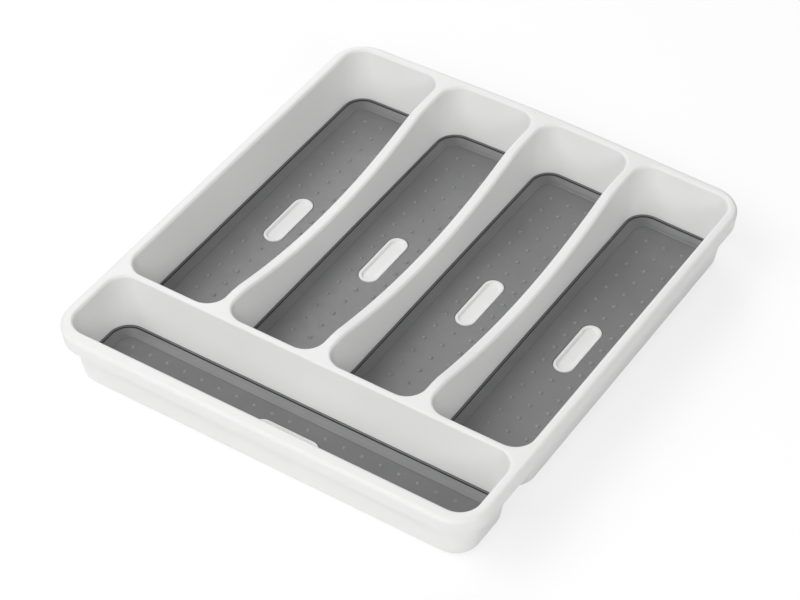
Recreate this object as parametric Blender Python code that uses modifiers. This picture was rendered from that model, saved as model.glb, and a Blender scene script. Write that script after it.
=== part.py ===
"""Drawer organizer insert: a one-piece moulded tray shell with five pockets, a soft liner
in each pocket and press-in feet under the floor.

Frame: +X is the width, +Y points to the back of the drawer, +Z is up.  The origin is the
centre of the outline, on the surface that the feet stand on.  All named sizes are in
millimetres and become metres when a vertex is made.
"""
from math import cos, pi, sin

import bmesh
import bpy

MM = 0.001

# ---- driving dimensions -------------------------------------------------------------
WIDTH = 318.0            # over the rim
DEPTH = 356.0            # over the rim, with the bow of the back edge
BOW = 3.6                # how far the back edge swells at its middle
BOW_FULL_Y = 90.0        # the swell grows from nothing at the cross divider to all of it here
SHELL_HEIGHT = 45.0      # underside of the floor to the top of the rim
FOOT_HEIGHT = 1.5        # ground to the underside of the floor
WALL = 2.0               # wall thickness of the shell, everywhere
PITCH = 76.2             # from one long pocket to the next

RIM_CORNER = 24.0        # plan radius of the rim's corners
RIM_ROUND = 3.0          # rounding of the rim's outer top edge
MOUTH_ROUND = 2.4        # rounding of the rim's inner edges, around the pockets
SKIRT_DROP = 12.4        # rim top to the skirt's lower edge
SKIRT_LEAN = 1.0         # how far the skirt leans in on its way down

LONG_POCKETS = 4
SIDE_BAND = 7.7          # rim edge to the top of an outer pocket wall
BACK_BAND = 6.7          # back edge to the top of the pockets' back walls
FRONT_BAND = 9.6         # front edge to the top of the front pocket's front wall
DIVIDER = 7.7            # thickness of the lengthwise dividers at the rim's height
DIVIDER_ROUND = 2.2      # rounding of their crests' edges
CROSS_DIVIDER = 4.5      # thickness of the cross divider at its crest
CROSS_ROUND = 1.95
CROSS_Y = -107.5         # middle of the cross divider
POCKET_CORNER_TOP = 14.0     # plan radius of a pocket's corners at the rim
POCKET_CORNER_LOW = 15.0     # and at the liner's edge
LINER_LEVEL = 8.0        # height over the shell's underside where the low widths hold
LONG_HALF_LOW = 33.3     # half width of a long pocket at that level
BACK_LEAN = 6.85         # how far each wall leans in between the rim and that level
CROSS_LEAN = 5.3         # on the side of the long pockets
CROSS_FRONT_LEAN = 4.7
FRONT_LEAN = 2.9
FLOOR_FILLET = 3.2

DIP = 13.3               # sag of the lengthwise dividers' crests
DIP_HALF_LENGTH = 104.0
DIP_Y = 23.0             # middle of the sag
DIP_EASE = 1.2           # depth over which the sag eases into the rim

GAP = 0.3                # clearance between two pieces
LINER_SIDE_GAP = 0.35
LINER_THICK = 1.0
LINER_RISE = 4.4         # height of the liner's coved border over its floor
LINER_COVE = 6.6         # width of that border
LINER_LIP = 0.8          # flat top of the border

BADGE_HALF_LENGTH = 24.2
BADGE_HALF_WIDTH = 7.2
BADGE_TOP = 3.8          # heights over the shell's underside
BADGE_DISH = 2.5
BADGE_RING = 1.7         # width of the raised ring around the dish
BADGE_SLOPE = 1.0        # width of the slope from the ring to the dish
BADGE_SOFT_EDGE = 0.4
LONG_BADGE_Y = 26.7      # centre of the badge in a long pocket, before the bow
FRONT_BADGE_Y = -142.3

FOOT_RADIUS = 6.0
FOOT_SOFT_EDGE = 0.4
FOOT_REAR_Y = 138.0
FOOT_FRONT_Y = -142.0

ARC = 4                  # segments in a quarter circle seen from above
ROUND = 2                # segments in a quarter circle of an edge rounding
SIDE_STEPS = 12          # segments along a side that sags or bows
FOOT_STEPS = 24          # segments around a foot

WHITE = (0.9, 0.9, 0.89)
GREY = (0.145, 0.146, 0.149)
DARK_GREY = (0.2, 0.2, 0.2)
PLASTIC_ROUGHNESS = 0.42
LINER_ROUGHNESS = 0.4
FOOT_ROUGHNESS = 0.7

# ---- values worked out from them ----------------------------------------------------
HALF_W = WIDTH / 2
FRONT_Y = -DEPTH / 2
BACK_Y = DEPTH / 2 - BOW
FLOOR_TOP = WALL
FRONT, RIGHT, BACK, LEFT = "front", "right", "back", "left"
SIDES_IN_TURN = (BACK, LEFT, FRONT, RIGHT)     # the side that follows each corner


def new_collection(name):
    collection = bpy.data.collections.new(name)
    bpy.context.scene.collection.children.link(collection)
    return collection


def make_material(name, color, roughness):
    material = bpy.data.materials.new(name)
    material.use_nodes = True
    shader = material.node_tree.nodes["Principled BSDF"]
    shader.inputs["Base Color"].default_value = (*color, 1.0)
    shader.inputs["Roughness"].default_value = roughness
    shader.inputs["Metallic"].default_value = 0.0
    return material


def smooth_step(t):
    t = min(max(t, 0.0), 1.0)
    return t * t * (3 - 2 * t)


def bow_shift(x, y):
    """How far a point moves back with the bowed back edge; nothing moves at the cross divider."""
    reach = min(abs(x) / HALF_W, 1.0)
    behind = smooth_step((y - CROSS_Y) / (BOW_FULL_Y - CROSS_Y))
    return BOW * cos(pi / 2 * reach) ** 2 * behind


def crest_sag(y):
    """Depth of a lengthwise divider's crest below the rim: a parabola that eases into the rim."""
    t = (y - DIP_Y) / DIP_HALF_LENGTH
    sag = DIP * (1 - t * t)
    if sag > DIP_EASE:
        return sag
    return max(sag + DIP_EASE, 0.0) ** 2 / (4 * DIP_EASE)


class Outline:
    """A rounded rectangle that changes evenly with height.

    low and high are (left, right, front, back, corner radius) at the heights z_low and z_high.
    rounding holds the radius of the top edge on each side, and sagging the sides whose top sags.
    """

    def __init__(self, low, high, z_low, z_high, rounding, sagging=()):
        self.low = low
        self.high = high
        self.z_low = z_low
        self.z_high = z_high
        self.rounding = rounding
        self.sagging = sagging
        self.stations = self.make_stations()

    def make_stations(self):
        """(corner number, share of the corner's turn, share of the side after it)."""
        stations = []
        for corner in range(4):
            stations += [(corner, step / ARC, 0.0) for step in range(ARC + 1)]
            stations += [(corner, 1.0, step / SIDE_STEPS) for step in range(1, SIDE_STEPS)]
        return stations

    def sides_at(self, z):
        t = (z - self.z_low) / (self.z_high - self.z_low)
        return [a + (b - a) * t for a, b in zip(self.low, self.high)]

    def point(self, station, z, out=0.0):
        """Plan position of a station at height z, moved outwards by out."""
        left, right, front, back, radius = self.sides_at(z)
        corner, turn, along = station
        centres = (
            (right - radius, back - radius),
            (left + radius, back - radius),
            (left + radius, front + radius),
            (right - radius, front + radius),
        )
        angle = pi / 2 * (corner + turn)
        here = centres[corner]
        there = centres[(corner + 1) % 4]
        x = here[0] + (there[0] - here[0]) * along + (radius + out) * cos(angle)
        y = here[1] + (there[1] - here[1]) * along + (radius + out) * sin(angle)
        return x, y

    def edge_round(self, station):
        """Radius of the top edge's rounding, eased around the corners."""
        corner, turn, along = station
        before = self.rounding[SIDES_IN_TURN[corner - 1]]
        after = self.rounding[SIDES_IN_TURN[corner]]
        return before + (after - before) * smooth_step(turn)

    def top(self, station, z_top):
        corner, turn, along = station
        if along == 0.0 or SIDES_IN_TURN[corner] not in self.sagging:
            return z_top
        x, y = self.point(station, z_top)
        return z_top - crest_sag(y)

    def ring(self, bm, place):
        """A closed ring of vertices; place(station) gives each one's x, y and z."""
        verts = []
        for station in self.stations:
            x, y, z = place(station)
            y += bow_shift(x, y)
            verts.append(bm.verts.new((x * MM, y * MM, (z + FOOT_HEIGHT) * MM)))
        close_ring(bm, verts)
        return verts


def close_ring(bm, verts):
    for a, b in zip(verts, verts[1:] + verts[:1]):
        bm.edges.new((a, b))


def skin(bm, rings):
    """Quads between neighbouring rings that have the same number of vertices."""
    for lower, upper in zip(rings, rings[1:]):
        count = len(lower)
        for i in range(count):
            j = (i + 1) % count
            bm.faces.new((lower[i], lower[j], upper[j], upper[i]))


def fill(bm, rings):
    """Triangles over the region between a ring and the rings inside it."""
    edges = []
    for ring in rings:
        for a, b in zip(ring, ring[1:] + ring[:1]):
            edges.append(bm.edges.get((a, b)))
    bmesh.ops.triangle_fill(bm, edges=edges, use_beauty=True, normal=(0, 0, 1))


def add_object(name, bm, collection, material):
    bmesh.ops.recalc_face_normals(bm, faces=bm.faces[:])
    mesh = bpy.data.meshes.new(name)
    bm.to_mesh(mesh)
    bm.free()
    mesh.materials.append(material)
    mesh.shade_smooth()
    obj = bpy.data.objects.new(name, mesh)
    collection.objects.link(obj)
    return obj


# ---- pockets --------------------------------------------------------------------------
def long_pocket_x(index):
    return (index - (LONG_POCKETS - 1) / 2) * PITCH


def long_pocket(index):
    """The outline of a long pocket: dividers on its inner sides, the rim on its outer ones."""
    middle = long_pocket_x(index)
    rounding = {BACK: MOUTH_ROUND, LEFT: DIVIDER_ROUND, RIGHT: DIVIDER_ROUND, FRONT: CROSS_ROUND}
    left = middle - (PITCH - DIVIDER) / 2
    right = middle + (PITCH - DIVIDER) / 2
    sagging = [LEFT, RIGHT]
    if index == 0:
        left = -HALF_W + SIDE_BAND
        rounding[LEFT] = MOUTH_ROUND
        sagging.remove(LEFT)
    if index == LONG_POCKETS - 1:
        right = HALF_W - SIDE_BAND
        rounding[RIGHT] = MOUTH_ROUND
        sagging.remove(RIGHT)
    front = CROSS_Y + CROSS_DIVIDER / 2
    back = BACK_Y - BACK_BAND
    low = (middle - LONG_HALF_LOW, middle + LONG_HALF_LOW, front + CROSS_LEAN, back - BACK_LEAN,
           POCKET_CORNER_LOW)
    high = (left, right, front, back, POCKET_CORNER_TOP)
    return Outline(low, high, LINER_LEVEL, SHELL_HEIGHT, rounding, sagging)


def front_pocket():
    """The outline of the pocket that runs across the front."""
    side = HALF_W - SIDE_BAND
    side_low = long_pocket_x(LONG_POCKETS - 1) + LONG_HALF_LOW
    front = FRONT_Y + FRONT_BAND
    back = CROSS_Y - CROSS_DIVIDER / 2
    rounding = {BACK: CROSS_ROUND, LEFT: MOUTH_ROUND, RIGHT: MOUTH_ROUND, FRONT: MOUTH_ROUND}
    low = (-side_low, side_low, front + FRONT_LEAN, back - CROSS_FRONT_LEAN, POCKET_CORNER_LOW)
    high = (-side, side, front, back, POCKET_CORNER_TOP)
    return Outline(low, high, LINER_LEVEL, SHELL_HEIGHT, rounding)


# ---- tray shell -----------------------------------------------------------------------
def pocket_surface(bm, pocket):
    """Floor, leaning wall and rounded top edge of one pocket; returns its ring on the rim's top."""

    def fillet_ring(angle):
        z = FLOOR_TOP + FLOOR_FILLET * (1 - sin(angle))
        inset = FLOOR_FILLET * (1 - cos(angle))

        def place(station):
            x, y = pocket.point(station, FLOOR_TOP + FLOOR_FILLET, -inset)
            return x, y, z
        return pocket.ring(bm, place)

    def edge_ring(angle):
        def place(station):
            r = pocket.edge_round(station)
            top = pocket.top(station, SHELL_HEIGHT)
            x, y = pocket.point(station, top - r, r * (1 - cos(angle)))
            return x, y, top - r * (1 - sin(angle))
        return pocket.ring(bm, place)

    rings = [fillet_ring(pi / 2 * (1 - step / ROUND)) for step in range(ROUND + 1)]
    rings += [edge_ring(pi / 2 * step / ROUND) for step in range(ROUND + 1)]
    skin(bm, rings)
    bm.faces.new(rings[0])
    return rings[-1]


def rim_surface(bm):
    """Rounded outer edge and skirt of the rim; returns its ring on the rim's top."""
    high = (-HALF_W, HALF_W, FRONT_Y, BACK_Y, RIM_CORNER)
    lean = SKIRT_LEAN
    low = (-HALF_W + lean, HALF_W - lean, FRONT_Y + lean, BACK_Y - lean, RIM_CORNER - lean)
    skirt_low = SHELL_HEIGHT - SKIRT_DROP
    skirt_high = SHELL_HEIGHT - RIM_ROUND
    outline = Outline(low, high, skirt_low, skirt_high, {})

    def edge_ring(angle):
        z = skirt_high + RIM_ROUND * sin(angle)

        def place(station):
            x, y = outline.point(station, skirt_high, -RIM_ROUND * (1 - cos(angle)))
            return x, y, z
        return outline.ring(bm, place)

    def skirt_ring(station):
        x, y = outline.point(station, skirt_low)
        return x, y, skirt_low

    rings = [outline.ring(bm, skirt_ring)]
    rings += [edge_ring(pi / 2 * step / ROUND) for step in range(ROUND + 1)]
    skin(bm, rings)
    return rings[-1]


def tray_shell(pockets, badges, collection):
    """The moulding: its whole upper surface, thickened downwards, with the badges on its floors."""
    bm = bmesh.new()
    tops = [pocket_surface(bm, pocket) for pocket in pockets]
    tops.append(rim_surface(bm))
    fill(bm, tops)
    shell = add_object("tray_shell", bm, collection, make_material("white_plastic", WHITE, PLASTIC_ROUGHNESS))
    face_floor_up(shell.data)
    thicken = shell.modifiers.new("wall", "SOLIDIFY")
    thicken.thickness = WALL * MM
    thicken.offset = -1.0
    thicken.use_even_offset = True
    for badge in badges:
        join = shell.modifiers.new("join_" + badge.name, "BOOLEAN")
        join.operation = "UNION"
        join.solver = "EXACT"
        join.object = badge
    return shell


def face_floor_up(mesh):
    """Turn the open surface so that its floors face up, away from the wall's thickness."""
    floor = max(mesh.polygons, key=lambda face: face.area)
    if floor.normal.z < 0:
        mesh.flip_normals()


# ---- badges ---------------------------------------------------------------------------
def stadium(half_length, half_width, centre, lengthwise):
    """Plan points of a slot with round ends, counter-clockwise."""
    points = []
    reach = half_length - half_width
    steps = 2 * ARC
    for end in (1, -1):
        for step in range(steps + 1):
            angle = pi * step / steps + (0 if end == 1 else pi)
            across = half_width * cos(angle)
            along = end * reach + half_width * sin(angle)
            x, y = (across, along) if lengthwise else (along, -across)
            points.append((centre[0] + x, centre[1] + y))
    return points


def stadium_ring(bm, inset, z, centre, lengthwise):
    points = stadium(BADGE_HALF_LENGTH - inset, BADGE_HALF_WIDTH - inset, centre, lengthwise)
    verts = [bm.verts.new((x * MM, y * MM, (z + FOOT_HEIGHT) * MM)) for x, y in points]
    close_ring(bm, verts)
    return verts


def badge(name, centre, lengthwise, collection, material):
    """A raised slot-shaped ring around a shallow dish, standing in the floor of a pocket."""
    bm = bmesh.new()
    sections = (
        (0.0, FLOOR_TOP / 2),
        (0.0, BADGE_TOP - BADGE_SOFT_EDGE),
        (BADGE_SOFT_EDGE, BADGE_TOP),
        (BADGE_RING, BADGE_TOP),
        (BADGE_RING + BADGE_SLOPE, BADGE_DISH),
    )
    rings = [stadium_ring(bm, inset, z, centre, lengthwise) for inset, z in sections]
    skin(bm, rings)
    bm.faces.new(rings[0])
    bm.faces.new(rings[-1])
    obj = add_object(name, bm, collection, material)
    obj.hide_render = True
    obj.display_type = "WIRE"
    return obj


def badge_centres():
    """(x, y, runs lengthwise) for the badge of each long pocket and then the front pocket."""
    centres = []
    for index in range(LONG_POCKETS):
        x = long_pocket_x(index)
        centres.append((x, LONG_BADGE_Y + bow_shift(x, LONG_BADGE_Y), True))
    centres.append((0.0, FRONT_BADGE_Y, False))
    return centres


# ---- liners ---------------------------------------------------------------------------
def liner(name, pocket, centre, collection, material):
    """A shallow pan with a coved border and a window that the badge stands in."""
    bm = bmesh.new()
    x_badge, y_badge, lengthwise = centre
    low = FLOOR_TOP + GAP
    floor = low + LINER_THICK
    edge = floor + LINER_RISE

    def ring(inset, z):
        def place(station):
            x, y = pocket.point(station, max(z, FLOOR_TOP + FLOOR_FILLET), -LINER_SIDE_GAP - inset)
            return x, y, z
        return pocket.ring(bm, place)

    outside = [
        ring(FLOOR_FILLET, low),
        ring(0.0, low + FLOOR_FILLET),
        ring(0.0, edge),
        ring(LINER_LIP, edge),
    ]
    cove = LINER_COVE - LINER_LIP
    for step in range(1, ROUND + 1):
        angle = pi / 2 * step / ROUND
        outside.append(ring(LINER_LIP + cove * (1 - cos(angle)), edge - LINER_RISE * sin(angle)))
    window = -LINER_SIDE_GAP
    window_low = stadium_ring(bm, window, low, (x_badge, y_badge), lengthwise)
    window_high = stadium_ring(bm, window, floor, (x_badge, y_badge), lengthwise)
    skin(bm, outside)
    skin(bm, [window_low, window_high])
    fill(bm, [outside[0], window_low])
    fill(bm, [outside[-1], window_high])
    return add_object(name, bm, collection, material)


# ---- feet -----------------------------------------------------------------------------
def foot(name, x, y, collection, material):
    """A round rubber foot under a floor, with a softened lower edge."""
    height = FOOT_HEIGHT - GAP
    bm = bmesh.new()
    bmesh.ops.create_cone(bm, cap_ends=True, segments=FOOT_STEPS, radius1=FOOT_RADIUS * MM,
                          radius2=FOOT_RADIUS * MM, depth=height * MM)
    lower = [edge for edge in bm.edges if all(v.co.z < 0 for v in edge.verts)]
    bmesh.ops.bevel(bm, geom=lower, offset=FOOT_SOFT_EDGE * MM, segments=1, affect="EDGES")
    obj = add_object(name, bm, collection, material)
    obj.location = (x * MM, y * MM, height / 2 * MM)
    return obj


def build():
    for obj in list(bpy.data.objects):
        bpy.data.objects.remove(obj)
    parts = new_collection("drawer_organizer_insert")
    helpers = new_collection("helpers")
    pockets = [long_pocket(index) for index in range(LONG_POCKETS)] + [front_pocket()]
    centres = badge_centres()
    helper_material = make_material("badge_plastic", WHITE, PLASTIC_ROUGHNESS)
    badges = []
    for number, (x, y, lengthwise) in enumerate(centres, 1):
        badges.append(badge("badge_%d" % number, (x, y), lengthwise, helpers, helper_material))
    tray_shell(pockets, badges, parts)
    names = ["liner_long_%d" % (index + 1) for index in range(LONG_POCKETS)] + ["liner_front"]
    for name, pocket, centre in zip(names, pockets, centres):
        liner(name, pocket, centre, parts, make_material(name + "_rubber", GREY, LINER_ROUGHNESS))
    feet = [(long_pocket_x(index), FOOT_REAR_Y) for index in range(LONG_POCKETS)]
    feet += [(long_pocket_x(index), FOOT_FRONT_Y) for index in range(LONG_POCKETS)]
    for number, (x, y) in enumerate(feet, 1):
        rubber = make_material("foot_%d_rubber" % number, DARK_GREY, FOOT_ROUGHNESS)
        foot("foot_%d" % number, x, y, parts, rubber)


build()
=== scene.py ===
from math import cos, pi, radians, sin

import bmesh
import bpy
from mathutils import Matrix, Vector


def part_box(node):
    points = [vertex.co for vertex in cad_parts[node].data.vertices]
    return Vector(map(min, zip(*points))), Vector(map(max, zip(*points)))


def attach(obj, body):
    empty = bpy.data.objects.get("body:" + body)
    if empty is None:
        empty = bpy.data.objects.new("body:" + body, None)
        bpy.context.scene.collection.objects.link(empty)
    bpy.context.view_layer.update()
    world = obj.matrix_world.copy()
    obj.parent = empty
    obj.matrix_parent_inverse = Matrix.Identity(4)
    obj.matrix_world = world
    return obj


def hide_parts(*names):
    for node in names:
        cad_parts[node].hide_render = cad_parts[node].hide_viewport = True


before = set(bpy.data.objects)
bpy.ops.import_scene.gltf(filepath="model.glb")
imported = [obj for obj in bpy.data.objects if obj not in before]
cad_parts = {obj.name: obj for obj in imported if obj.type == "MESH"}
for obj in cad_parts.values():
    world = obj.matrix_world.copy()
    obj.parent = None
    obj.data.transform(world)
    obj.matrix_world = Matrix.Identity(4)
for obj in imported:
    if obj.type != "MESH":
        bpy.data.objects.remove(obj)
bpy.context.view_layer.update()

MM = 0.001
BODY = "root"


def box_mm(node):
    low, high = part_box(node)
    return low / MM, high / MM


# ---- sizes read from the CAD model ------------------------------------------------------
TRAY_LOW, TRAY_HIGH = box_mm("tray_shell")
LONG_NODES = sorted(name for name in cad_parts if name.startswith("liner_long"))
LINER_NODES = LONG_NODES + ["liner_front"]
FOOT_NODES = sorted(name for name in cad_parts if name.startswith("foot"))
LINER_BOXES = [box_mm(name) for name in LINER_NODES]
HALF_W = TRAY_HIGH.x
FRONT_Y = TRAY_LOW.y
BACK_APEX_Y = TRAY_HIGH.y
FLOOR_UNDER = TRAY_LOW.z
RIM_TOP = TRAY_HIGH.z
LINER_LOW = LINER_BOXES[0][0].z
PITCH = (LINER_BOXES[1][0].x + LINER_BOXES[1][1].x - LINER_BOXES[0][0].x - LINER_BOXES[0][1].x) / 2

# ---- shape of the moulding --------------------------------------------------------------
WALL = 2.0               # wall thickness
BOW = 3.6                # how far the back edge swells at its middle
BOW_FULL_Y = 90.0        # the swell grows from nothing at the cross divider to all of it here
RIM_CORNER = 24.0        # plan radius of the rim's corners
RIM_ROUND = 3.0          # rounding of the rim's outer top edge
MOUTH_ROUND = 2.4        # rounding of the rim's inner edges, around the pockets
SKIRT_DROP = 12.4        # rim top to the skirt's lower edge
SKIRT_LEAN = 1.0         # how far the skirt leans in on its way down
SIDE_BAND = 7.7          # rim edge to the top of an outer pocket wall
BACK_BAND = 6.7
FRONT_BAND = 9.6
DIVIDER = 7.7            # thickness of the lengthwise dividers at the rim's height
DIVIDER_ROUND = 2.2      # rounding of their crests' edges
CROSS_DIVIDER = 4.5      # thickness of the cross divider at its crest
CROSS_ROUND = 1.95
CROSS_Y = -107.5         # middle of the cross divider
CORNER_TOP = 14.0        # plan radius of a pocket's corners at the rim
CORNER_LOW = 15.0        # and at the liner's edge
LOW_LEVEL = 8.0          # height over the tray's underside where the low widths hold
BACK_LEAN = 6.85         # how far each wall leans in between the rim and that level
CROSS_LEAN = 5.3         # on the side of the long pockets
CROSS_FRONT_LEAN = 4.7
FRONT_LEAN = 2.9
FLOOR_FILLET = 3.2
DIP = 13.3               # sag of the lengthwise dividers' crests
DIP_HALF_LENGTH = 104.0
DIP_Y = 23.0             # middle of the sag
DIP_EASE = 1.2           # depth over which the sag eases into the rim
LINER_SIDE_GAP = 0.35
EDGE_SOFTENING = 0.5     # bevel of the moulding's sharp lower edges

# ---- badges, liners and dots ------------------------------------------------------------
BADGE_HALF_LENGTH = 24.2
BADGE_HALF_WIDTH = 7.2
BADGE_FLARE = 0.3        # how far a badge's foot spreads on the pocket floor
BADGE_Y = 26.7           # centre of the badge in a long pocket, before the bow
FRONT_BADGE_Y = -142.3
BADGE_SECTIONS = (       # (inset from the badge's outline, height over the tray's underside)
    (0.0, 3.0), (0.0, 3.45), (0.1, 3.65), (0.35, 3.78), (0.6, 3.8), (1.6, 3.8), (1.85, 3.75),
    (2.08, 3.58), (2.25, 3.25), (2.5, 2.7), (2.7, 2.4), (2.95, 2.24), (3.4, 2.2), (4.2, 2.2),
)
# Shade is painted into the two grooves along the lip and the crease at the cove's foot; a highlight is
# painted on the lip's top.
LINER_SECTIONS = (       # (inset from the liner's edge, height over its lowest point, share of painted shade or highlight)
    (3.2, 0.0, 0.0), (1.2, 1.0, 0.0), (0.3, 2.2, 0.0), (-0.2, 3.4, -0.9), (-0.25, 5.2, -0.9),
    (-0.18, 5.34, -0.9), (-0.05, 5.3, -0.9), (0.02, 3.4, -0.95), (0.28, 3.4, -0.95), (0.34, 4.9, -0.9),
    (0.4, 5.3, 0.1), (0.55, 5.44, 0.35), (0.85, 5.44, 0.35), (0.97, 5.3, 0.1), (1.02, 4.95, -0.85),
    (1.06, 3.7, -0.9), (1.32, 3.65, -0.9), (1.42, 4.3, -0.85), (1.6, 4.34, 0.0), (2.2, 3.62, 0.0),
    (3.0, 2.9, 0.0), (3.9, 2.28, 0.0), (4.8, 1.8, 0.0), (5.5, 1.5, 0.0), (5.9, 1.24, 0.0),
    (6.2, 0.96, 0.0), (6.5, 0.82, -0.15), (6.85, 0.8, -0.15), (7.3, 0.92, 0.0), (7.8, 1.0, 0.0),
)
# Shade is painted into the gap around the badge.
WINDOW_SECTIONS = (      # (distance out from the window's edge, depth under the floor, share of painted shade)
    (0.0, 1.0, -0.8), (0.0, 0.15, -0.8), (0.15, 0.0, -0.5), (0.55, 0.0, 0.0),
)
PAINTED_LIGHT_LAYER = "painted_light"            # share of painted shade (darker) or painted highlight (lighter) on a liner's grey at a vertex
DOT_PAINTED_HIGHLIGHT = 0.8           # painted highlight on the tip of a dot, as the same share
DOT_RADIUS = 2.0         # foot of a dot, which rises in a soft swell
DOT_HEIGHT = 0.8
DOT_SHARES = (1.0, 0.84, 0.68, 0.52, 0.36, 0.18)   # of its radius, where a dot has rings
DOT_CLEARANCE = 1.2      # between a badge's end and the foot of the nearest dot
DOT_PITCH = 13.78        # across the pocket
DOT_ROW = 13.5           # along the pocket
DOT_FIRST_Y = 141.3      # row of dots nearest the back edge, before the bow
DOT_SHIFT_X = 0.4        # the rows sit a little to the right of the badge's middle
FRONT_DOTS = 20          # in each row of the front pocket
FRONT_DOT_PITCH = 13.75
FRONT_DOT_SHIFT = 1.8    # and how far its rows sit to the right of its middle
FRONT_DOT_ROWS = (-12.0, 0.0, 13.3)                # its rows, from the badge's middle line

# ---- feet -------------------------------------------------------------------------------
FOOT_SECTIONS = (        # (share of the foot's radius, share of its height), from the dimple out
    (0.30, 0.25), (0.36, 0.06), (0.42, 0.0), (0.80, 0.0), (0.90, 0.06), (0.96, 0.2), (1.0, 0.45),
    (1.0, 1.0),
)

# ---- fineness of the meshes -------------------------------------------------------------
ARC = 12                 # segments in a quarter circle seen from above
ROUND = 7                # segments in a quarter circle of an edge rounding
SIDE_STEPS = 36          # segments along a side
DOT_STEPS = 16           # segments around a dot
FOOT_STEPS = 40          # segments around a foot

FRONT, RIGHT, BACK, LEFT = "front", "right", "back", "left"
SIDES_IN_TURN = (BACK, LEFT, FRONT, RIGHT)     # the side that follows each corner
BACK_Y = BACK_APEX_Y - BOW


def smooth_step(t):
    t = min(max(t, 0.0), 1.0)
    return t * t * (3 - 2 * t)


def bow_shift(x, y):
    """How far a point moves back with the bowed back edge; nothing moves at the cross divider."""
    reach = min(abs(x) / HALF_W, 1.0)
    behind = smooth_step((y - CROSS_Y) / (BOW_FULL_Y - CROSS_Y))
    return BOW * cos(pi / 2 * reach) ** 2 * behind


def crest_sag(y):
    """Depth of a lengthwise divider's crest below the rim: a parabola that eases into the rim."""
    t = (y - DIP_Y) / DIP_HALF_LENGTH
    sag = DIP * (1 - t * t)
    if sag > DIP_EASE:
        return sag
    return max(sag + DIP_EASE, 0.0) ** 2 / (4 * DIP_EASE)


class Outline:
    """A rounded rectangle that changes evenly with height.

    low and high are (left, right, front, back, corner radius) at the heights z_low and z_high.
    rounding holds the radius of the top edge on each side, and sagging the sides whose top sags.
    """

    def __init__(self, low, high, z_low, z_high, rounding, sagging=()):
        self.low = low
        self.high = high
        self.z_low = z_low
        self.z_high = z_high
        self.rounding = rounding
        self.sagging = sagging
        self.stations = self.make_stations()

    def make_stations(self):
        """(corner number, share of the corner's turn, share of the side after it)."""
        stations = []
        for corner in range(4):
            stations += [(corner, step / ARC, 0.0) for step in range(ARC + 1)]
            stations += [(corner, 1.0, step / SIDE_STEPS) for step in range(1, SIDE_STEPS)]
        return stations

    def sides_at(self, z):
        t = (z - self.z_low) / (self.z_high - self.z_low)
        return [a + (b - a) * t for a, b in zip(self.low, self.high)]

    def point(self, station, z, out=0.0):
        """Plan position of a station at height z, moved outwards by out."""
        left, right, front, back, radius = self.sides_at(z)
        corner, turn, along = station
        centres = (
            (right - radius, back - radius),
            (left + radius, back - radius),
            (left + radius, front + radius),
            (right - radius, front + radius),
        )
        angle = pi / 2 * (corner + turn)
        here = centres[corner]
        there = centres[(corner + 1) % 4]
        x = here[0] + (there[0] - here[0]) * along + (radius + out) * cos(angle)
        y = here[1] + (there[1] - here[1]) * along + (radius + out) * sin(angle)
        return x, y

    def edge_round(self, station):
        """Radius of the top edge's rounding, eased around the corners."""
        corner, turn = station[:2]
        before = self.rounding[SIDES_IN_TURN[corner - 1]]
        after = self.rounding[SIDES_IN_TURN[corner]]
        return before + (after - before) * smooth_step(turn)

    def top(self, station, z_top):
        corner, turn, along = station
        if along == 0.0 or SIDES_IN_TURN[corner] not in self.sagging:
            return z_top
        x, y = self.point(station, z_top)
        return z_top - crest_sag(y)

    def ring(self, bm, place):
        """A closed ring of vertices; place(station) gives each one's x, y and z."""
        return make_ring(bm, [place(station) for station in self.stations], bowed=True)


def make_ring(bm, points, bowed=False):
    verts = []
    for x, y, z in points:
        if bowed:
            y += bow_shift(x, y)
        verts.append(bm.verts.new((x * MM, y * MM, z * MM)))
    for a, b in zip(verts, verts[1:] + verts[:1]):
        bm.edges.new((a, b))
    return verts


def skin(bm, rings):
    """Quads between neighbouring rings that have the same number of vertices."""
    for lower, upper in zip(rings, rings[1:]):
        count = len(lower)
        for i in range(count):
            j = (i + 1) % count
            bm.faces.new((lower[i], lower[j], upper[j], upper[i]))


def fill(bm, rings):
    """Triangles over the region between a ring and the rings inside it."""
    edges = []
    for ring in rings:
        for a, b in zip(ring, ring[1:] + ring[:1]):
            edges.append(bm.edges.get((a, b)))
    bmesh.ops.triangle_fill(bm, edges=edges, use_beauty=True, normal=(0, 0, 1))


def add_piece(name, bm, material, node):
    """A smooth-shaded object from a bmesh, riding on the tray's body in place of a CAD node."""
    bmesh.ops.recalc_face_normals(bm, faces=bm.faces[:])
    mesh = bpy.data.meshes.new(name)
    bm.to_mesh(mesh)
    bm.free()
    mesh.materials.append(material)
    mesh.shade_smooth()
    obj = bpy.data.objects.new(name, mesh)
    bpy.context.scene.collection.objects.link(obj)
    even = obj.modifiers.new("even_shading", "WEIGHTED_NORMAL")
    even.weight = 90
    even.keep_sharp = True
    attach(obj, BODY)
    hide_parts(node)
    return obj


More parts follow.
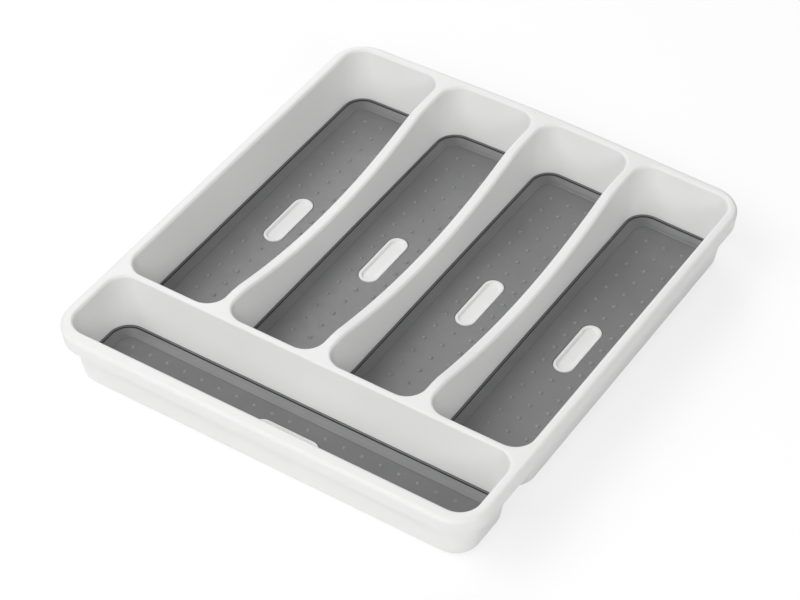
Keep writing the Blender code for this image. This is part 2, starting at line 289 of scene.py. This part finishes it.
# ---- outlines of the pockets ------------------------------------------------------------
def pocket_outline(index):
    """Outline of a pocket from the box of its liner; the last one is the front pocket."""
    low_corner, high_corner = LINER_BOXES[index]
    middle = (low_corner.x + high_corner.x) / 2
    half_low = (high_corner.x - low_corner.x) / 2 + LINER_SIDE_GAP
    rounding = {BACK: MOUTH_ROUND, LEFT: MOUTH_ROUND, RIGHT: MOUTH_ROUND, FRONT: MOUTH_ROUND}
    sagging = []
    if LINER_NODES[index] == "liner_front":
        left, right = -HALF_W + SIDE_BAND, HALF_W - SIDE_BAND
        front, back = FRONT_Y + FRONT_BAND, CROSS_Y - CROSS_DIVIDER / 2
        front_low, back_low = front + FRONT_LEAN, back - CROSS_FRONT_LEAN
        rounding[BACK] = CROSS_ROUND
    else:
        left = middle - (PITCH - DIVIDER) / 2
        right = middle + (PITCH - DIVIDER) / 2
        front, back = CROSS_Y + CROSS_DIVIDER / 2, BACK_Y - BACK_BAND
        front_low, back_low = front + CROSS_LEAN, back - BACK_LEAN
        rounding[FRONT] = CROSS_ROUND
        if index == 0:
            left = -HALF_W + SIDE_BAND
        else:
            sagging.append(LEFT)
            rounding[LEFT] = DIVIDER_ROUND
        if index == len(LONG_NODES) - 1:
            right = HALF_W - SIDE_BAND
        else:
            sagging.append(RIGHT)
            rounding[RIGHT] = DIVIDER_ROUND
    low = (middle - half_low, middle + half_low, front_low, back_low, CORNER_LOW)
    high = (left, right, front, back, CORNER_TOP)
    return Outline(low, high, FLOOR_UNDER + LOW_LEVEL, RIM_TOP, rounding, sagging)


def badge_place(index):
    """Centre of a pocket's badge, and whether it runs lengthwise."""
    low_corner, high_corner = LINER_BOXES[index]
    x = (low_corner.x + high_corner.x) / 2
    if LINER_NODES[index] == "liner_front":
        return x, FRONT_BADGE_Y, False
    return x, BADGE_Y + bow_shift(x, BADGE_Y), True


# ---- tray shell -------------------------------------------------------------------------
def pocket_surface(bm, pocket):
    """Floor, leaning wall and rounded top edge of one pocket; returns its ring on the rim's top."""
    floor = FLOOR_UNDER + WALL

    def fillet_ring(angle):
        inset = FLOOR_FILLET * (1 - cos(angle))

        def place(station):
            x, y = pocket.point(station, floor + FLOOR_FILLET, -inset)
            return x, y, floor + FLOOR_FILLET * (1 - sin(angle))
        return pocket.ring(bm, place)

    def edge_ring(angle):
        def place(station):
            r = pocket.edge_round(station)
            top = pocket.top(station, RIM_TOP)
            x, y = pocket.point(station, top - r, r * (1 - cos(angle)))
            return x, y, top - r * (1 - sin(angle))
        return pocket.ring(bm, place)

    rings = [fillet_ring(pi / 2 * (1 - step / ROUND)) for step in range(ROUND + 1)]
    rings += [edge_ring(pi / 2 * step / ROUND) for step in range(ROUND + 1)]
    skin(bm, rings)
    bm.faces.new(rings[0])
    return rings[-1]


def rim_surface(bm):
    """Rounded outer edge and skirt of the rim; returns its ring on the rim's top."""
    high = (-HALF_W, HALF_W, FRONT_Y, BACK_Y, RIM_CORNER)
    lean = SKIRT_LEAN
    low = (-HALF_W + lean, HALF_W - lean, FRONT_Y + lean, BACK_Y - lean, RIM_CORNER - lean)
    skirt_low = RIM_TOP - SKIRT_DROP
    skirt_high = RIM_TOP - RIM_ROUND
    outline = Outline(low, high, skirt_low, skirt_high, {})

    def edge_ring(angle):
        def place(station):
            x, y = outline.point(station, skirt_high, -RIM_ROUND * (1 - cos(angle)))
            return x, y, skirt_high + RIM_ROUND * sin(angle)
        return outline.ring(bm, place)

    def skirt_ring(station):
        x, y = outline.point(station, skirt_low)
        return x, y, skirt_low

    rings = [outline.ring(bm, skirt_ring)]
    rings += [edge_ring(pi / 2 * step / ROUND) for step in range(ROUND + 1)]
    skin(bm, rings)
    return rings[-1]


def thickened(bm):
    """The closed moulding: the open upper surface thickened downwards, its lower edge softened."""
    bmesh.ops.recalc_face_normals(bm, faces=bm.faces[:])
    mesh = bpy.data.meshes.new("tray_surface")
    bm.to_mesh(mesh)
    bm.free()
    floor = max(mesh.polygons, key=lambda face: face.area)
    if floor.normal.z < 0:
        mesh.flip_normals()
    obj = bpy.data.objects.new("tray_surface", mesh)
    bpy.context.scene.collection.objects.link(obj)
    thicken = obj.modifiers.new("wall", "SOLIDIFY")
    thicken.thickness = WALL * MM
    thicken.offset = -1.0
    thicken.use_even_offset = True
    soften = obj.modifiers.new("soften", "BEVEL")
    soften.width = EDGE_SOFTENING * MM
    soften.segments = 3
    soften.limit_method = "ANGLE"
    soften.angle_limit = radians(60)
    solid = bmesh.new()
    evaluated = obj.evaluated_get(bpy.context.evaluated_depsgraph_get())
    solid.from_mesh(evaluated.to_mesh())
    evaluated.to_mesh_clear()
    bpy.data.objects.remove(obj)
    bpy.data.meshes.remove(mesh)
    return solid


def stadium(centre, half_length, half_width, lengthwise, z):
    """Points of a slot with round ends, counter-clockwise."""
    points = []
    reach = half_length - half_width
    steps = 2 * ARC
    for end in (1, -1):
        for step in range(steps + 1):
            angle = pi * step / steps + (0 if end == 1 else pi)
            across = half_width * cos(angle)
            along = end * reach + half_width * sin(angle)
            x, y = (across, along) if lengthwise else (along, -across)
            points.append((centre[0] + x, centre[1] + y, z))
    return points


def badge_ring(bm, place, inset, z):
    x, y, lengthwise = place
    return make_ring(bm, stadium((x, y), BADGE_HALF_LENGTH - inset, BADGE_HALF_WIDTH - inset, lengthwise, z))


def stand_badge(bm, place):
    """Opens the pocket floor under a badge and raises the badge's ring and dish out of it."""
    x, y = place[:2]
    floor_z = (FLOOR_UNDER + WALL) * MM
    spot = Vector((x * MM, y * MM, floor_z))
    floors = [f for f in bm.faces if f.normal.z > 0.9 and len(f.verts) > 4 * ARC
              and abs(f.calc_center_median().z - floor_z) < 0.1 * MM]
    floor = min(floors, key=lambda f: (f.calc_center_bounds() - spot).length)
    border = list(floor.verts)
    bmesh.ops.delete(bm, geom=[floor], context="FACES_ONLY")
    foot_ring = badge_ring(bm, place, -BADGE_FLARE, FLOOR_UNDER + WALL)
    rings = [foot_ring]
    rings += [badge_ring(bm, place, inset, FLOOR_UNDER + height) for inset, height in BADGE_SECTIONS]
    skin(bm, rings)
    bm.faces.new(rings[-1])
    fill(bm, [border, foot_ring])


def tray_shell(outlines, material):
    bm = bmesh.new()
    tops = [pocket_surface(bm, outline) for outline in outlines]
    tops.append(rim_surface(bm))
    fill(bm, tops)
    solid = thickened(bm)
    solid.normal_update()
    for index in range(len(outlines)):
        stand_badge(solid, badge_place(index))
    return add_piece("moulded_tray", solid, material, "tray_shell")


# ---- liners -----------------------------------------------------------------------------
def dot_places(index):
    """Plan positions of a liner's dots: a square grid that leaves room for the badge."""
    x_badge, y_badge, lengthwise = badge_place(index)
    low_corner, high_corner = LINER_BOXES[index]
    margin = LINER_SECTIONS[-1][0] + DOT_RADIUS
    keep_off = BADGE_HALF_LENGTH + DOT_CLEARANCE + DOT_RADIUS
    places = []
    if lengthwise:
        shift = y_badge - BADGE_Y
        y = DOT_FIRST_Y + shift
        while y > low_corner.y + margin:
            for column in (-1, 0, 1):
                if column or abs(y - y_badge) > keep_off:
                    places.append((x_badge + DOT_SHIFT_X + column * DOT_PITCH, y))
            y -= DOT_ROW
        return places
    for row in FRONT_DOT_ROWS:
        for number in range(FRONT_DOTS):
            x = (number - (FRONT_DOTS - 1) / 2) * FRONT_DOT_PITCH + FRONT_DOT_SHIFT
            if row or abs(x - x_badge) > keep_off:
                places.append((x, y_badge + row))
    return places


def paint_light_on(bm, ring, painted_share):
    """Paints shade (below zero) or a highlight (above zero) onto a ring, as a share of its liner's grey."""
    layer = bm.verts.layers.float[PAINTED_LIGHT_LAYER]
    for vert in ring:
        vert[layer] = painted_share
    return ring


def dot_ring(bm, centre, share, floor):
    """A ring of a dot at a share of its radius; the height and the painted highlight follow a cosine swell.
    """
    radius = DOT_RADIUS * share
    swell = (1 + cos(pi * share)) / 2
    z = floor + DOT_HEIGHT * swell
    turn = 2 * pi / DOT_STEPS
    points = []
    for i in range(DOT_STEPS):
        points.append((centre[0] + radius * cos(turn * i), centre[1] + radius * sin(turn * i), z))
    return paint_light_on(bm, make_ring(bm, points), DOT_PAINTED_HIGHLIGHT * swell)


def raise_dot(bm, centre, floor):
    """A small dome on the liner's floor; returns the ring that it stands on."""
    rings = [dot_ring(bm, centre, share, floor) for share in DOT_SHARES]
    skin(bm, rings)
    bm.faces.new(rings[-1])
    return rings[0]


def liner(index, outline, material):
    """A shallow pan with a lipped, coved border, rows of dots and a window for the badge; shade is painted
    into its grooves and highlights onto its lip and dot tips.
    """
    bm = bmesh.new()
    bm.verts.layers.float.new(PAINTED_LIGHT_LAYER)
    place = badge_place(index)
    wall_level = FLOOR_UNDER + WALL + FLOOR_FILLET

    def ring(inset, height):
        z = LINER_LOW + height

        def spot(station):
            x, y = outline.point(station, max(z, wall_level), -LINER_SIDE_GAP - inset)
            return x, y, z
        return outline.ring(bm, spot)

    rings = [paint_light_on(bm, ring(inset, height), painted_share) for inset, height, painted_share in LINER_SECTIONS]
    skin(bm, rings)
    floor = LINER_LOW + LINER_SECTIONS[-1][1]
    gap = -LINER_SIDE_GAP
    window = [paint_light_on(bm, badge_ring(bm, place, gap - inset, floor - depth), painted_share)
              for inset, depth, painted_share in WINDOW_SECTIONS]
    skin(bm, window)
    dots = [raise_dot(bm, centre, floor) for centre in dot_places(index)]
    fill(bm, [rings[0], window[0]])
    fill(bm, [rings[-1], window[-1]] + dots)
    return add_piece("soft_" + LINER_NODES[index], bm, material, LINER_NODES[index])


# ---- feet -------------------------------------------------------------------------------
def foot(node, material):
    """A pressed-in rubber button: flat where it stands, rounded at its edge, with a shallow dimple."""
    low, high = box_mm(node)
    centre = (low + high) / 2
    radius = (high.x - low.x) / 2
    height = high.z - low.z
    bm = bmesh.new()
    turn = 2 * pi / FOOT_STEPS
    rings = []
    for share, rise in FOOT_SECTIONS:
        points = []
        for i in range(FOOT_STEPS):
            x = centre.x + radius * share * cos(turn * i)
            y = centre.y + radius * share * sin(turn * i)
            points.append((x, y, low.z + height * rise))
        rings.append(make_ring(bm, points))
    skin(bm, rings)
    bm.faces.new(rings[0])
    bm.faces.new(rings[-1])
    return add_piece("rubber_" + node, bm, material, node)


# ---- materials --------------------------------------------------------------------------
def new_material(name):
    """A material with its node tree, its shader and object coordinates."""
    material = bpy.data.materials.new(name)
    material.use_nodes = True
    nodes = material.node_tree.nodes
    shader = nodes["Principled BSDF"]
    coordinates = nodes.new("ShaderNodeTexCoord")
    return material, shader, coordinates.outputs["Object"]


def noise(material, vector, scale, detail):
    node = material.node_tree.nodes.new("ShaderNodeTexNoise")
    node.inputs["Scale"].default_value = scale
    node.inputs["Detail"].default_value = detail
    material.node_tree.links.new(vector, node.inputs["Vector"])
    return node.outputs["Fac"]


def spread(material, value, low, high):
    """Maps the useful middle of a noise to the range from low to high."""
    node = material.node_tree.nodes.new("ShaderNodeMapRange")
    node.inputs["From Min"].default_value = 0.3
    node.inputs["From Max"].default_value = 0.7
    node.inputs["To Min"].default_value = low
    node.inputs["To Max"].default_value = high
    material.node_tree.links.new(value, node.inputs["Value"])
    return node.outputs["Result"]


def tint(material, value, dark, light):
    node = material.node_tree.nodes.new("ShaderNodeMix")
    node.data_type = "RGBA"
    node.inputs["A"].default_value = (*dark, 1.0)
    node.inputs["B"].default_value = (*light, 1.0)
    material.node_tree.links.new(value, node.inputs["Factor"])
    return node.outputs["Result"]


def bump(material, height, depth_mm, strength, under=None):
    node = material.node_tree.nodes.new("ShaderNodeBump")
    node.inputs["Strength"].default_value = strength
    node.inputs["Distance"].default_value = depth_mm * MM
    material.node_tree.links.new(height, node.inputs["Height"])
    if under is not None:
        material.node_tree.links.new(under, node.inputs["Normal"])
    return node.outputs["Normal"]


def white_plastic():
    """Satin moulded polypropylene: a fine spark grain over a faint flow mottle."""
    material, shader, place = new_material("satin_white_plastic")
    link = material.node_tree.links.new
    mottle = spread(material, noise(material, place, 28.0, 3.0), 0.0, 1.0)
    link(tint(material, mottle, (0.925, 0.925, 0.918), (0.94, 0.94, 0.933)), shader.inputs["Base Color"])
    link(spread(material, noise(material, place, 140.0, 4.0), 0.36, 0.46), shader.inputs["Roughness"])
    flow = bump(material, noise(material, place, 45.0, 2.0), 0.10, 0.12)
    grain = bump(material, noise(material, place, 2600.0, 2.0), 0.02, 0.35, flow)
    link(grain, shader.inputs["Normal"])
    shader.inputs["IOR"].default_value = 1.49
    return material


def with_painted_light(material, colour):
    """The colour scaled by one plus the share of painted shade (below zero) or painted highlight (above
    zero) that the mesh carries.
    """
    nodes = material.node_tree.nodes
    link = material.node_tree.links.new
    painted_share = nodes.new("ShaderNodeAttribute")
    painted_share.attribute_name = PAINTED_LIGHT_LAYER
    factor = nodes.new("ShaderNodeMath")
    factor.operation = "ADD"
    factor.inputs[1].default_value = 1.0
    link(painted_share.outputs["Fac"], factor.inputs[0])
    scaled = nodes.new("ShaderNodeVectorMath")
    scaled.operation = "SCALE"
    link(colour, scaled.inputs[0])
    link(factor.outputs["Value"], scaled.inputs["Scale"])
    return scaled.outputs["Vector"]


def soft_grey():
    """Soft-touch elastomer: a matt fine-grained grey with a faint cloudiness, darkened by the shade and
    lightened by the highlights painted on the mesh.
    """
    material, shader, place = new_material("soft_touch_grey")
    link = material.node_tree.links.new
    cloud = spread(material, noise(material, place, 60.0, 4.0), 0.0, 1.0)
    grey = tint(material, cloud, (0.137, 0.138, 0.141), (0.151, 0.152, 0.155))
    link(with_painted_light(material, grey), shader.inputs["Base Color"])
    link(spread(material, noise(material, place, 300.0, 3.0), 0.34, 0.42), shader.inputs["Roughness"])
    grain = bump(material, noise(material, place, 2200.0, 3.0), 0.04, 0.5)
    link(grain, shader.inputs["Normal"])
    shader.inputs["IOR"].default_value = 1.5
    shader.inputs["Sheen Weight"].default_value = 0.05
    return material


def foot_rubber():
    material, shader, place = new_material("foot_rubber")
    link = material.node_tree.links.new
    cloud = spread(material, noise(material, place, 400.0, 4.0), 0.0, 1.0)
    link(tint(material, cloud, (0.10, 0.10, 0.103), (0.13, 0.13, 0.134)), shader.inputs["Base Color"])
    link(spread(material, noise(material, place, 900.0, 3.0), 0.6, 0.8), shader.inputs["Roughness"])
    link(bump(material, noise(material, place, 1800.0, 3.0), 0.05, 0.5), shader.inputs["Normal"])
    return material


# ---- studio -----------------------------------------------------------------------------
BOX_DISTANCE = 2.6       # soft boxes to the middle of the tray, in metres
CAMERA_DISTANCE = 1.8668
PAPER_LIFT = 0.5         # share of the paper's picture that is an even white
PAPER_GLOW = 1.25


def lift_for_camera(material, shader):
    """Lightens what the camera sees of the paper; the light it throws on the tray stays the same."""
    nodes = material.node_tree.nodes
    link = material.node_tree.links.new
    glow = nodes.new("ShaderNodeEmission")
    path = nodes.new("ShaderNodeLightPath")
    share = nodes.new("ShaderNodeMath")
    share.operation = "MULTIPLY"
    share.inputs[1].default_value = PAPER_LIFT
    link(path.outputs["Is Camera Ray"], share.inputs[0])
    mix = nodes.new("ShaderNodeMixShader")
    link(share.outputs["Value"], mix.inputs["Fac"])
    link(shader.outputs["BSDF"], mix.inputs[1])
    link(glow.outputs["Emission"], mix.inputs[2])
    glow.inputs["Strength"].default_value = PAPER_GLOW
    link(mix.outputs["Shader"], nodes["Material Output"].inputs["Surface"])


def pale_floor():
    bm = bmesh.new()
    bmesh.ops.create_grid(bm, x_segments=8, y_segments=8, size=6.0)
    mesh = bpy.data.meshes.new("studio_floor")
    bm.to_mesh(mesh)
    bm.free()
    material, shader, place = new_material("pale_paper")
    link = material.node_tree.links.new
    cloud = spread(material, noise(material, place, 3.0, 2.0), 0.0, 1.0)
    link(tint(material, cloud, (0.90, 0.90, 0.90), (0.92, 0.92, 0.92)), shader.inputs["Base Color"])
    shader.inputs["Roughness"].default_value = 0.9
    shader.inputs["Specular IOR Level"].default_value = 0.1
    lift_for_camera(material, shader)
    mesh.materials.append(material)
    floor = bpy.data.objects.new("studio_floor", mesh)
    bpy.context.scene.collection.objects.link(floor)


def direction(azimuth, elevation):
    """Unit vector towards a point seen from the tray; azimuth runs from the front to the right."""
    level = cos(radians(elevation))
    return Vector((sin(radians(azimuth)) * level, -cos(radians(azimuth)) * level, sin(radians(elevation))))


def soft_light(name, azimuth, elevation, size, power):
    """A square soft box aimed at the tray."""
    data = bpy.data.lights.new(name, "AREA")
    data.shape = "SQUARE"
    data.size = size
    data.energy = power
    towards = direction(azimuth, elevation)
    light = bpy.data.objects.new(name, data)
    light.location = towards * BOX_DISTANCE
    light.rotation_mode = "QUATERNION"
    light.rotation_quaternion = (-towards).to_track_quat("-Z", "Y")
    bpy.context.scene.collection.objects.link(light)


def studio_light():
    world = bpy.data.worlds.new("studio_world")
    world.use_nodes = True
    sky = world.node_tree.nodes["Background"]
    sky.inputs["Color"].default_value = (1.0, 1.0, 1.0, 1.0)
    sky.inputs["Strength"].default_value = 0.18
    bpy.context.scene.world = world
    soft_light("front_left_box", -45, 50, 1.8, 26.5)
    soft_light("front_box", 5, 38, 1.6, 14.0)
    soft_light("right_box", 60, 30, 1.0, 15.5)
    soft_light("back_left_box", -134, 43, 1.2, 12.0)
    soft_light("back_left_low_box", -140, 24, 0.9, 9.0)


def studio_camera():
    """A long lens looking down over the tray's front right corner."""
    target = Vector((-0.0086, 0.0042, 0.0030))
    back = direction(33.016, 43.82)
    data = bpy.data.cameras.new("studio_camera")
    data.sensor_width = 36.0
    data.lens = 126.7
    data.clip_end = 30.0
    camera = bpy.data.objects.new("studio_camera", data)
    camera.location = target + back * CAMERA_DISTANCE
    camera.rotation_mode = "QUATERNION"
    camera.rotation_quaternion = (-back).to_track_quat("-Z", "Y")
    bpy.context.scene.collection.objects.link(camera)
    bpy.context.scene.camera = camera


# ---- the whole scene --------------------------------------------------------------------
outlines = [pocket_outline(index) for index in range(len(LINER_NODES))]
tray_shell(outlines, white_plastic())
liner_material = soft_grey()
for index, outline in enumerate(outlines):
    liner(index, outline, liner_material)
foot_material = foot_rubber()
for node in FOOT_NODES:
    foot(node, foot_material)
pale_floor()
studio_light()
studio_camera()
bpy.context.scene.view_settings.view_transform = "Standard"
bpy.context.scene.view_settings.gamma = 1.2
